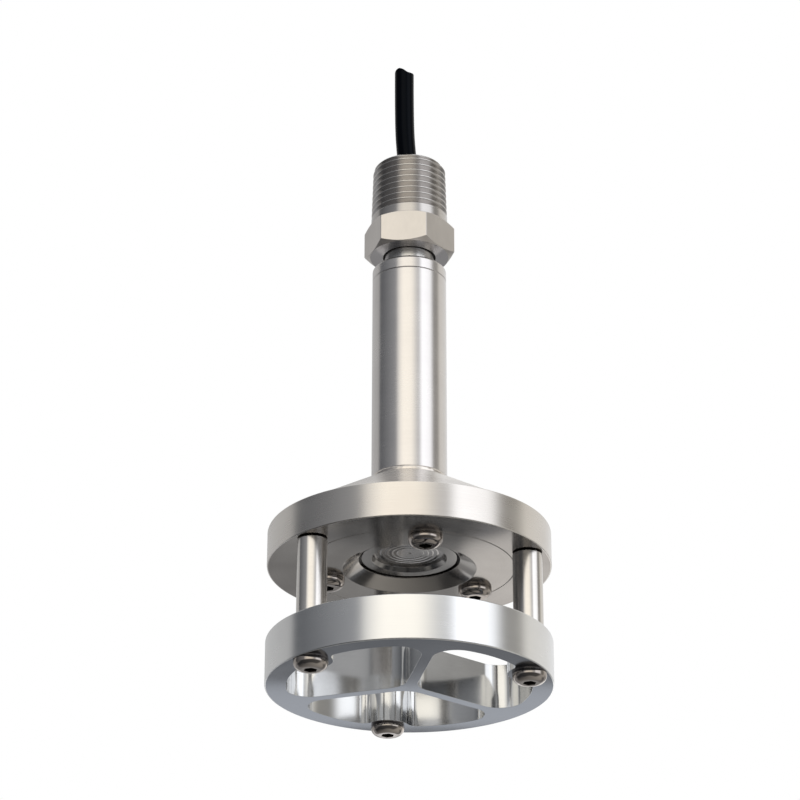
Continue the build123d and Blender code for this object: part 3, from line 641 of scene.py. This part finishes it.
def button_screw(name, place, seat, shank):
    """A screw with its head's seat at a level and its shank above it."""
    head_height, head_flat, shank_radius, tip_bevel = 2.57, 2.22, 2.415, 0.5
    socket_half_flats, socket_wall, socket_depth = 1.5875, 1.5, 1.82
    angle = np.linspace(0, 2 * np.pi, 96, endpoint=False)
    down, side = np.array([0.0, -1.0]), np.array([1.0, 0.0])
    head = dome((2.3, -head_height), (4.084, -1.82), (4.585, -0.35), 20)
    head = [(np.array([head_flat, -head_height]), down)] + head[1:]
    shoulder = np.array([shank_radius, 0.0])
    shank_end = np.array([shank_radius, shank - tip_bevel])
    tip_edge = np.array([shank_radius - tip_bevel, shank])
    slant = unit([1, 1])
    head += [(np.array([4.585, -0.08]), side), (np.array([4.50, 0.0]), -down), (shoulder, -down)]
    body = [(shoulder, side), (shank_end, side)]
    end = [(shank_end, slant), (tip_edge, slant)]
    cap = [(tip_edge, -down), (np.array([0.0, shank]), -down)]
    strips = turned_strips([head, body, end, cap], 96)
    fold = (angle + np.pi / 6) % (np.pi / 3) - np.pi / 6
    hexagon = socket_half_flats / np.cos(fold)
    around = np.stack([np.cos(angle), np.sin(angle)], axis=-1)

    def ring(radius, level):
        radius = np.broadcast_to(radius, angle.shape)
        return np.column_stack([around * radius[:, None], np.full(len(angle), float(level))])

    lip, wall_end = -head_height + 0.07, -head_height + socket_wall
    flat = np.array([ring(head_flat, -head_height), ring(hexagon + 0.06, -head_height), ring(hexagon, lip)])
    strips.append((flat, np.broadcast_to([0.0, 0.0, -1.0], flat.shape).copy(), True, 0))
    # Painted shade: the socket's walls and bottom take the near-black finish
    wall = np.array([ring(hexagon, lip), ring(hexagon, wall_end)])
    face = np.round(angle / (np.pi / 3)) * (np.pi / 3)
    wall_shade = np.zeros_like(wall)
    wall_shade[..., 0] = -np.cos(face)
    wall_shade[..., 1] = -np.sin(face)
    strips.append((wall, wall_shade, True, 1))
    bottom = np.array([ring(hexagon, wall_end), ring(0.0, -head_height + socket_depth)])
    strips.append((bottom, np.broadcast_to([0.0, 0.0, -1.0], bottom.shape).copy(), True, 1))
    # The head takes the darker steel and the socket the near-black one: both painted shade
    return build(name, strips, [screw_painted_shade, painted_recess_shade], (*place, seat))


guard_shank, disc_shank, disc_screw_circle = 40.4, 13.0, 23.4
for number, place in enumerate(post_places):
    screw = button_screw(f"guard_screw_{number}", place, guard_bottom, guard_shank)
    place_piece(screw, "screw_steel", "guard_screws")
for number, degrees in enumerate((30.0, 150.0, 270.0)):
    place = on_circle(disc_screw_circle, degrees)
    screw = button_screw(f"disc_screw_{number}", place, flange_bottom, disc_shank)
    place_piece(screw, "screw_steel", "disc_screws")


# Flange, disc and sensor holder, each an outline of radius, height and rounding of the edge
flange_outline = [
    (28.35, flange_bottom, 0.12),
    (plate_radius, flange_bottom, 0.35),
    (plate_radius, 45.47, 0.22),
    (36.5, 45.97, 0.25),
    (tube_radius, cone_top, 0.05),
    (tube_bore, cone_top),
    (tube_bore, 64.07, 0.4),
    (7.5, 64.07, 0.1),
    (7.5, 52.22),
    (12.55, 52.22),
    (12.55, seat_top),
    (seat_radius, seat_top),
    (seat_radius, disc_top),
    (28.35, disc_top),
]
flange_strips = turned_strips(soften(flange_outline), 288)
flange = build("flange_piece", flange_strips, [flange_finish, flange_face_painted_shade])
# Painted shade: the underside takes the darker steel
for polygon in flange.data.polygons:
    if polygon.center.z < (flange_bottom + 0.01) * MM:
        polygon.material_index = 1
place_piece(flange, "flange_steel", "flange_body")

disc_outline = [
    (17.9, flange_bottom, 0.10),
    (28.2, flange_bottom, 0.15),
    (28.2, disc_top, 0.1),
    (seat_radius, disc_top),
    (seat_radius, 39.97),
    (13.55, 39.97),
    (13.55, 38.481, 0.10),
]
disc = build("disc_piece", turned_strips(soften(disc_outline), 256), [disc_painted_shade])
place_piece(disc, "disc_steel", "retainer_disc")

holder_outline = [
    (10.1, 38.87, 0.07),
    (12.9, 38.87, 0.25),
    (12.9, holder_shoulder),
    (15.5, holder_shoulder),
    (15.5, seat_top),
    (12.5, seat_top),
    (12.5, 52.17),
    (9.55, 52.17),
    (9.55, holder_shoulder),
    (9.3, holder_shoulder),
    (9.3, 39.97, 0.10),
]
holder = build("holder_piece", turned_strips(soften(holder_outline), 192), [holder_painted_shade])
place_piece(holder, "holder_steel", "sensor_holder")


# Diaphragm: concentric waves, a smooth middle and a small dimple
sheet_bottom, sheet_top, sheet_edge = 40.48, 40.66, 9.4


def sheet_level(radius):
    """Height of the diaphragm's underside at a radius."""
    wave_start, wave_end, wave_pitch, wave_height = 3.5, 8.7, 1.3, 0.028
    wave = wave_height * (1 - np.cos(2 * np.pi * (radius - wave_start) / wave_pitch))
    wave = np.where((radius > wave_start) & (radius < wave_end), wave, 0.0)
    step = 0.05 / (1 + np.exp((radius - 3.25) / 0.06))
    dimple = 0.22 * np.exp(-((radius / 0.30) ** 2))
    return sheet_bottom + wave + step + dimple


sheet_radius = np.concatenate([np.linspace(0.0, 3.6, 40), np.linspace(3.65, sheet_edge, 110)])
sheet_slope = np.gradient(sheet_level(sheet_radius), sheet_radius)
sheet_run = [
    (np.array([r, z]), unit([slope, -1.0]))
    for r, z, slope in zip(sheet_radius, sheet_level(sheet_radius), sheet_slope)
]
outward, upward = np.array([1.0, 0.0]), np.array([0.0, 1.0])
edge_run = [(np.array([sheet_edge, level]), outward) for level in (sheet_bottom, sheet_top)]
back_run = [(np.array([radius, sheet_top]), upward) for radius in (sheet_edge, sheet_edge - 0.5)]
sheet_strips = turned_strips([sheet_run, edge_run, back_run], 144)
diaphragm = build("diaphragm_piece", sheet_strips, [diaphragm_painted_shade])
place_piece(diaphragm, "diaphragm_steel", "diaphragm")


# Tube with its weld bead
def ripple(angle, seed, terms):
    """A smooth uneven wave round the axis, between about -1 and 1."""
    value = np.zeros_like(angle)
    for k, (count, size) in enumerate(terms):
        value += size * np.sin(count * angle + seed * 1.7 + k * 2.3)
    return value


def tube_strips():
    """The tube, and the uneven weld bead round its foot."""
    weld_top = 62.0
    outline = [(tube_radius, weld_top), (tube_radius, seam, 0.40), (8.8, seam, 0.1), (8.8, 61.12)]
    strips = turned_strips(soften(outline)[:1], 180, 0)
    angle = np.linspace(0, 2 * np.pi, 720, endpoint=False)
    terms = [(5, 0.35), (9, 0.30), (17, 0.20), (31, 0.15)]
    upper = weld_top + 0.10 * ripple(angle, 1.0, terms)
    lower_out = 0.58 + 0.06 * ripple(angle, 2.0, terms)
    swell = 0.22 + 0.04 * ripple(angle, 3.0, [(11, 0.4), (23, 0.3), (41, 0.3)])
    cone_slope = 0.576
    rows = []
    for share in np.linspace(0, 1, 9):
        bulge = swell * math.sin(math.pi * share)
        radius = tube_radius - 0.03 + lower_out * (1 - share) + bulge * 0.85
        level = (cone_top - lower_out * cone_slope - 0.03) * (1 - share) + upper * share + bulge * 0.5
        rows.append(np.column_stack([radius * np.cos(angle), radius * np.sin(angle), level]))
    points = np.array(rows)
    strips.append((points, grid_normals(points), True, 1))
    return strips


tube = build("tube_piece", tube_strips(), [tube_finish, bead_finish])
place_piece(tube, "tube_steel", "body_tube")

cap_outline = [
    (3.95, 114.77),
    (tube_bore, 114.77),
    (tube_bore, seam),
    (tube_radius, seam, 0.25),
    (tube_radius, 124.77, 0.25),
    (9.5, cap_top, 0.20),
    (neck_radius, cap_top, 0.20),
    (neck_radius, groove_bottom, 0.05),
    (groove_radius, groove_bottom),
    (groove_radius, groove_top),
    (neck_radius, groove_top),
    (neck_radius, neck_top, 0.1),
    (3.95, neck_top),
]
cap = build("cap_piece", turned_strips(soften(cap_outline), 180), [neck_finish, tube_finish])
for polygon in cap.data.polygons:
    reach = math.hypot(polygon.center.x, polygon.center.y)
    if polygon.center.z < (cap_top - 0.57) * MM and reach > (tube_radius - 0.4) * MM:
        polygon.material_index = 1
place_piece(cap, "tube_steel", "end_cap")

oring_middle, oring_section = np.array([6.69, 130.72]), 0.53
oring_ways = [np.array([math.cos(angle), math.sin(angle)]) for angle in np.linspace(0, 2 * np.pi, 25)]
oring_run = [(oring_middle + oring_section * way, way) for way in oring_ways]
oring = build("neck_oring_piece", turned_strips([oring_run], 120), [rubber_finish])
place_piece(oring, "seal_rubber", "neck_oring")


# Conduit fitting: hexagon with bevelled corners, and the tapered thread
def hexagon_outline(half_flats, corner_round, turn_degrees):
    """A hexagon with round corners, as points with outward normals."""
    points, normals = [], []
    reach = half_flats / math.cos(math.pi / 6)
    flat_half = half_flats * math.tan(math.pi / 6) - corner_round * math.tan(math.pi / 6)
    for k in range(6):
        middle = math.radians(turn_degrees + 60 * k)
        out = np.array([math.cos(middle), math.sin(middle)])
        along = np.array([-out[1], out[0]])
        for share in np.linspace(-1, 1, 17):
            points.append(half_flats * out + flat_half * share * along)
            normals.append(out)
        centre = (half_flats - corner_round) * out + flat_half * along
        for step in range(1, 6):
            angle = middle + math.radians(60 * step / 6)
            way = np.array([math.cos(angle), math.sin(angle)])
            points.append(centre + corner_round * way)
            normals.append(way)
    return np.array(points), np.array(normals)


def hexagon_strips():
    """The hexagon, with a 30 degree bevel that leaves a curved edge on each flat."""
    half_flats, face_radius, corner_round, front_flat_turn = 11.1125, 10.99, 0.30, 18.65
    bevel = math.radians(30)
    plan, shade = hexagon_outline(half_flats, corner_round, 30 - front_flat_turn)
    radius = np.linalg.norm(plan, axis=1)
    way = plan / radius[:, None]
    wall_normal = np.column_stack([shade, np.zeros(len(way))])
    strips = []
    for level, sign in ((hex_top, 1), (hex_bottom, -1)):
        edge_level = level - sign * np.maximum(radius - face_radius, 0.0) * math.tan(bevel)
        cone_normal = np.column_stack([way * 0.5, np.full(len(way), sign * math.cos(bevel))])
        flat_normal = np.broadcast_to([0.0, 0.0, float(sign)], wall_normal.shape)
        inner = 10.5 if sign > 0 else 7.4
        bevel_start = np.minimum(face_radius + 0.05, radius - 0.03)
        rows = [
            (inner, level, flat_normal),
            (face_radius - 0.05, level, flat_normal),
            (bevel_start, level - sign * 0.03, cone_normal),
            (radius - 0.10, edge_level + sign * 0.055, cone_normal),
            (radius - 0.03, edge_level - sign * 0.02, unit(cone_normal + wall_normal)),
            (radius, edge_level - sign * 0.12, wall_normal),
        ]
        points = []
        for reach, height, _ in rows:
            reach = np.broadcast_to(reach, radius.shape)[:, None]
            points.append(np.column_stack([way * reach, np.broadcast_to(height, radius.shape)]))
        strips.append((np.array(points), np.array([row[2] for row in rows]), True, 0))
    middle_rows = np.array([strips[0][0][-1], strips[1][0][-1]])
    strips.append((middle_rows, np.array([wall_normal, wall_normal]), True, 0))
    return strips


# Thread: one groove wound up the taper, fading out towards the hexagon
thread_pitch, thread_depth, first_crest = 25.4 / 14, 1.25, 0.41


def thread_radius(angle, level):
    """Radius of the thread's surface at an angle and a level."""
    phase = ((level - hex_top) / thread_pitch - angle / (2 * np.pi) + first_crest) % 1.0
    groove = np.interp(phase, [0.0, 0.15, 0.565, 0.585, 1.0], [0.0, 0.0, 1.0, 1.0, 0.0])
    fade = np.clip((level - 141.2) / 1.3, 0, 1)
    fade = fade * fade * (3 - 2 * fade)
    base = 10.78 - (level - hex_top) / 32
    end_bevel = np.maximum(level - (fitting_top - 1.0), 0.0)
    return np.minimum(base - thread_depth * groove * fade, base - end_bevel)


def thread_strips():
    """The threaded outside of the fitting and its mouth."""
    angle = np.linspace(0, 2 * np.pi, 193)
    marks = [0.0, 0.03, 0.08, 0.12, 0.15, 0.19, 0.28, 0.41, 0.53, 0.565, 0.585, 0.62, 0.73, 0.86, 0.96]
    turns = int((fitting_top - hex_top) / thread_pitch) + 3
    rows = [hex_top + thread_pitch * (k - 1 + mark - first_crest) for k in range(turns + 1) for mark in marks]
    rows = np.array(rows)[:, None] + thread_pitch * angle[None, :] / (2 * np.pi)
    rows = np.clip(rows, hex_top, fitting_top)
    keep = [k for k in range(len(rows)) if rows[k].max() > hex_top and rows[k].min() < fitting_top]
    level = rows[[keep[0] - 1] + keep + [keep[-1] + 1]]
    radius = thread_radius(angle, level)
    points = np.stack([radius * np.cos(angle), radius * np.sin(angle), level], axis=-1)
    above = np.minimum(level + 0.035, fitting_top)
    below = np.maximum(level - 0.035, hex_top)
    slope = (thread_radius(angle, above) - thread_radius(angle, below)) / np.maximum(above - below, 1e-4)
    outward = [np.broadcast_to(part, level.shape) for part in (np.cos(angle), np.sin(angle))]
    strips = [(points, unit(np.stack([*outward, -slope], axis=-1)), False, 1)]

    def row(size, height):
        return np.column_stack([size * np.cos(angle), size * np.sin(angle), np.full(len(angle), height)])

    rim = points[-1]
    inner_edge = row(fitting_mouth + 0.6, fitting_top)
    mouth = row(fitting_mouth, fitting_top - 0.6)
    deep = row(fitting_mouth, gland_top)
    flat_up = np.broadcast_to([0.0, 0.0, 1.0], rim.shape)
    bevel = unit(row(-1.0, 1.0))
    inward = row(-1.0, 0.0)
    strips.append((np.array([rim, inner_edge]), np.array([flat_up, flat_up]), False, 1))
    strips.append((np.array([inner_edge, mouth]), np.array([bevel, bevel]), False, 1))
    strips.append((np.array([mouth, deep]), np.array([inward, inward]), False, 1))
    return strips


bore_corners = [
    (7.4, hex_bottom),
    (7.4, groove_top + 0.05),
    (6.95, groove_top + 0.05),
    (6.95, gland_top),
    (fitting_mouth, gland_top),
]
bore_runs = []
for first, second in zip(bore_corners, bore_corners[1:]):
    facing = np.array([-1.0, 0.0]) if first[0] == second[0] else np.array([0.0, -1.0])
    bore_runs.append([(np.array(first), facing), (np.array(second), facing)])
fitting = build(
    "fitting_piece",
    hexagon_strips() + thread_strips() + turned_strips(bore_runs, 96, 0),
    [hex_finish, thread_finish, hex_face_finish],
)
for polygon in fitting.data.polygons:
    if polygon.center.z < (hex_bottom + 0.01) * MM:
        polygon.material_index = 2
place_piece(fitting, "fitting_steel", "conduit_fitting")


# Pieces kept from the frame: their finishes
kept_finishes = {
    "holder_oring": rubber_finish,
    "nose_gasket": rubber_finish,
    "capsule_body": inner_finish,
    "capsule_oring": rubber_finish,
    "capsule_nut": inner_finish,
    "sensor_header": inner_finish,
    "glass_seals": bead_glass_finish,
    "header_pins": gold_finish,
    "sensor_chip": silicon_finish,
    "sensor_board": board_finish,
    "main_board": board_finish,
    "board_holders": moulded_and_bore_shade_finish,
    "board_chips": chip_finish,
    "surge_arresters": can_finish,
    "link_wires": wire_finish,
    "cap_oring": rubber_finish,
    "gland_bush": rubber_finish,
    "gland_washers": inner_finish,
}
for node, finish in kept_finishes.items():
    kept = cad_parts[node]
    kept.data.materials.clear()
    kept.data.materials.append(finish)


# Studio: a white room with soft cards round the part, and a pale floor far below
world = bpy.data.worlds.new("studio")
bpy.context.scene.world = world
world.use_nodes = True
room = world.node_tree
for node in list(room.nodes):
    room.nodes.remove(node)
direction = room.nodes.new("ShaderNodeTexCoord")
split = room.nodes.new("ShaderNodeSeparateXYZ")
room.links.new(direction.outputs["Generated"], split.inputs[0])
degrees_each = 180 / math.pi
bearing = math_node(room, "ARCTAN2", split.outputs[1], split.outputs[0])
bearing = math_node(room, "MULTIPLY", bearing, degrees_each)
bearing = math_node(room, "WRAP", math_node(room, "ADD", bearing, camera_bearing), 180.0, -180.0)
height = math_node(room, "MULTIPLY", math_node(room, "ARCSINE", split.outputs[2]), degrees_each)


def soft_step(value, low, high):
    """0 before low, 1 past high, smooth between."""
    result = spread(room, value, low, high, 0.0, 1.0)
    result.node.interpolation_type = "SMOOTHSTEP"
    return result


def lay_over(behind, share, tone):
    node = room.nodes.new("ShaderNodeMix")
    node.data_type = "RGBA"
    room.links.new(share, node.inputs[0])
    room.links.new(behind, node.inputs[6])
    room.links.new(tone, node.inputs[7])
    return node.outputs[2]


def card(behind, centre, half_width, soft, first, second, low=-20.0, high=62.0, rise=12.0):
    """A lit or dark card before the room: bearing and height in degrees, tone from its left to its right."""
    away = math_node(room, "WRAP", math_node(room, "SUBTRACT", bearing, centre), 180.0, -180.0)
    reach = math_node(room, "ABSOLUTE", away)
    inside = soft_step(reach, half_width + soft, half_width - soft)
    above = soft_step(height, low - rise, low + rise)
    below = soft_step(height, high + rise, high - rise)
    share = math_node(room, "MULTIPLY", inside, math_node(room, "MULTIPLY", above, below))
    tone = mix_tones(room, spread(room, away, -half_width, half_width, 0.0, 1.0), first, second)
    return lay_over(behind, share, tone)


def tint(level, warm=0.0):
    """A grey of some brightness, turned a little warm, or cold where warm is below 0."""
    return (level * (1 + 0.5 * warm), level, level * (1 - warm))


room_tone = room.nodes.new("ShaderNodeRGB")
room_tone.outputs[0].default_value = (0.92, 0.92, 0.92, 1)
light = room_tone.outputs[0]

# Cards round the part, for the walls: a grey far left, right and front, a dark left edge, two bright
# boxes in front and a dim edge at the right
light = card(light, -128, 50, 12, tint(0.60), tint(0.49, 0.02))
light = card(light, 120, 32, 10, tint(0.82, 0.09), tint(0.88, 0.02))
light = card(light, 20, 70, 8, tint(0.72), tint(0.74))
light = card(light, -71, 34, 3, tint(0.105, -0.10), tint(0.39, -0.03))
light = card(light, -7, 24, 14, tint(1.46, 0.10), tint(1.36, 0.10))
light = card(light, 54, 19, 6, tint(1.75, -0.03), tint(1.45, -0.02))
light = card(light, 90, 12, 6, tint(0.33, 0.06), tint(0.38, 0.08))

# The lower half, for the faces that look down: dark at the left, a dark card in front, two cards behind
sideways = room.nodes.new("ShaderNodeVectorMath")
sideways.operation = "DOT_PRODUCT"
sideways.inputs[1].default_value = level_right
room.links.new(direction.outputs["Generated"], sideways.inputs[0])
side_share = spread(room, sideways.outputs["Value"], -0.7, 0.7, 0.0, 1.0)
low_tone = mix_tones(room, side_share, tint(0.05, -0.1), tint(0.62, 0.06))
light = lay_over(light, soft_step(height, -6, -32), low_tone)
light = card(light, 0, 78, 14, tint(0.05, -0.10), tint(0.15, 0.03), low=-66.0, high=-15.0, rise=8.0)
light = card(light, 176, 62, 14, tint(0.18, 0.05), tint(0.46, -0.03), low=-36.0, high=-18.0, rise=6.0)
light = card(light, 176, 62, 14, tint(0.42, 0.05), tint(0.74, -0.01), low=-15.0, high=-2.0, rise=5.0)

# The camera itself sees plain white
camera_ray = room.nodes.new("ShaderNodeLightPath")
shown = room.nodes.new("ShaderNodeMix")
shown.data_type = "RGBA"
room.links.new(camera_ray.outputs["Is Camera Ray"], shown.inputs[0])
room.links.new(light, shown.inputs[6])
shown.inputs[7].default_value = (1, 1, 1, 1)
background = room.nodes.new("ShaderNodeBackground")
room.links.new(shown.outputs[2], background.inputs[0])
output = room.nodes.new("ShaderNodeOutputWorld")
room.links.new(background.outputs[0], output.inputs[0])

# Soft strip lights low behind the part, for the faces that look down
behind = Vector((forward.x, forward.y, 0)).normalized()


def strip_light(name, sideways_by, level, width, height_of, energy, colour):
    """An area lamp 100 mm behind the axis that faces the ring; places and sizes in metres."""
    lamp_data = bpy.data.lights.new(name, "AREA")
    lamp_data.shape = "RECTANGLE"
    lamp_data.size = width
    lamp_data.size_y = height_of
    lamp_data.energy = energy
    lamp_data.color = colour
    lamp = bpy.data.objects.new(name, lamp_data)
    bpy.context.scene.collection.objects.link(lamp)
    lamp.location = behind * 0.100 + level_right * sideways_by + Vector((0, 0, level))
    lamp.rotation_euler = (Vector((0, 0, 0.002)) - lamp.location).to_track_quat("-Z", "Y").to_euler()
    lamp.visible_camera = False


strip_light("strip_low", 0.0, -0.026, 0.17, 0.013, 0.0046, (0.95, 0.97, 1.0))
strip_light("strip_right", 0.048, -0.004, 0.07, 0.032, 0.0050, (1.0, 0.97, 0.93))

floor_material, _, floor_shader = new_material("floor_finish")
floor_shader.inputs["Base Color"].default_value = (0.92, 0.93, 0.94, 1)
floor_shader.inputs["Roughness"].default_value = 0.9
floor_reach, floor_level = 4, -0.34
floor_signs = ((-1, -1), (1, -1), (1, 1), (-1, 1))
floor_corners = [(x * floor_reach, y * floor_reach, floor_level) for x, y in floor_signs]
floor_mesh = bpy.data.meshes.new("floor")
floor_mesh.from_pydata(floor_corners, [], [(0, 1, 2, 3)])
floor_mesh.materials.append(floor_material)
floor = bpy.data.objects.new("floor", floor_mesh)
bpy.context.scene.collection.objects.link(floor)
floor.visible_glossy = False
floor.visible_shadow = False

bpy.context.scene.view_settings.view_transform = "Standard"
bpy.context.scene.view_settings.look = "None"
